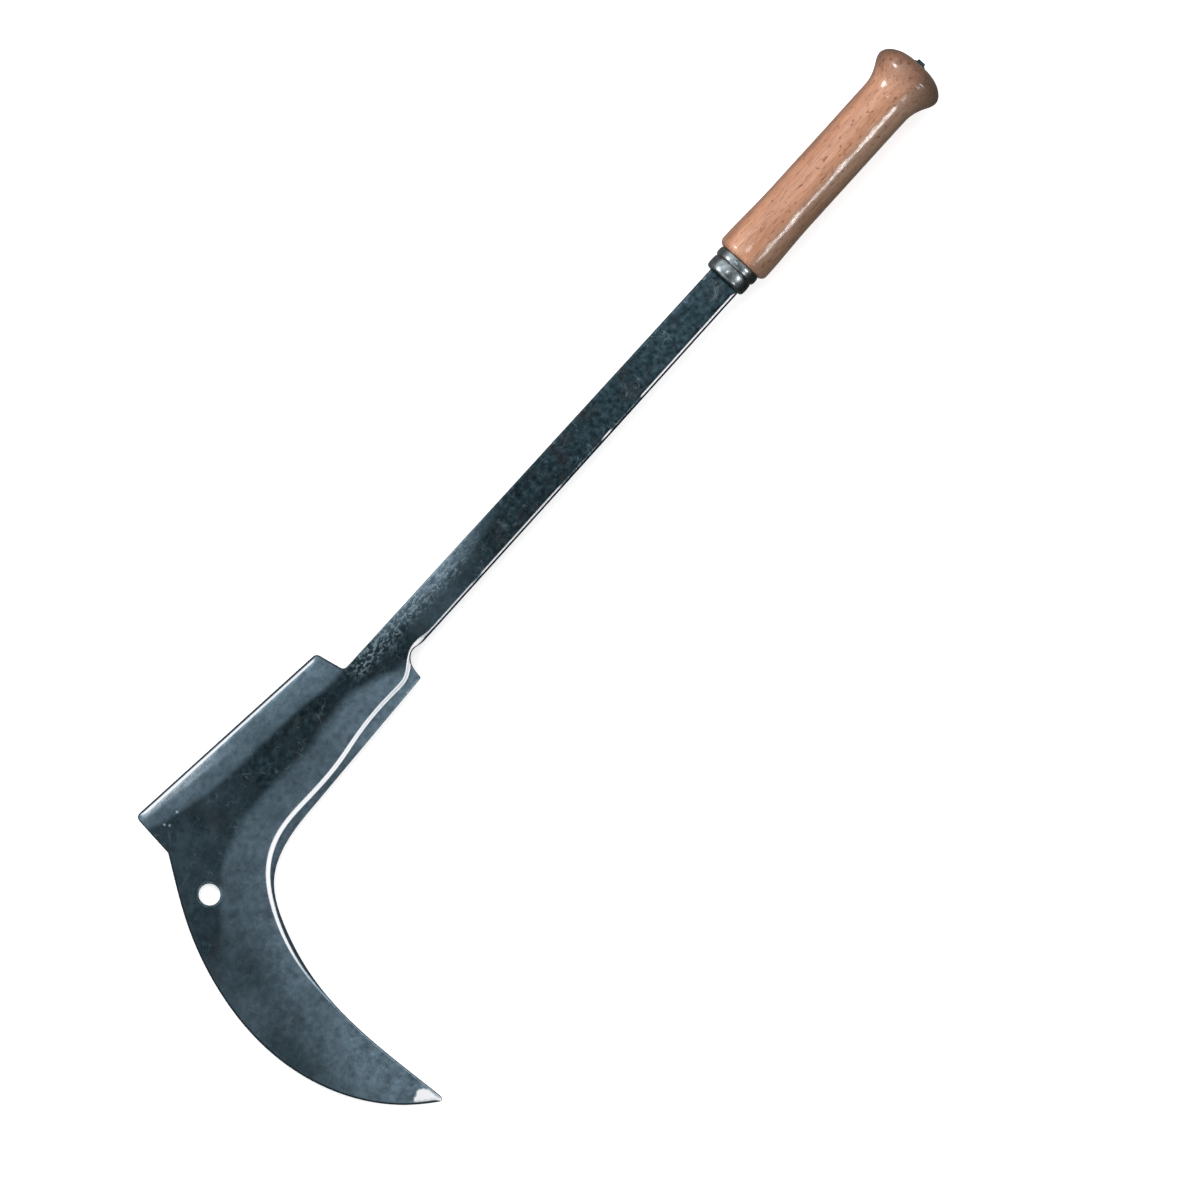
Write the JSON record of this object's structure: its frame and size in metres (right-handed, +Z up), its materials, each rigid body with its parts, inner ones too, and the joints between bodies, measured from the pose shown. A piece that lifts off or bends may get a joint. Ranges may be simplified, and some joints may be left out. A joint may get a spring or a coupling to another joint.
{
  "type": "hand sickle",
  "caption": "Long-shanked pruning sickle: hooked blade with a straight heel blade on its back, forged with its shank and driven into a turned wooden handle.",
  "frame": {"origin": "centre of the bounding box, on the flat surface that the tool lies on", "axes": "+X from the butt towards the blade, +Y to the side of the hook's point, +Z up from the surface"},
  "size_m": [0.7024, 0.2502, 0.0457],
  "materials": {
    "forged_steel": "dark forge scale, ground edges",
    "varnished_wood": "glossy varnish",
    "polished_steel": "polished, slightly worn"
  },
  "bodies": {
    "root": {"forged_head": "forged_steel", "wooden_handle": "varnished_wood", "ferrule_band": "polished_steel", "ferrule_cap": "polished_steel", "tang_washer": "polished_steel"}
  },
  "joints": []
}
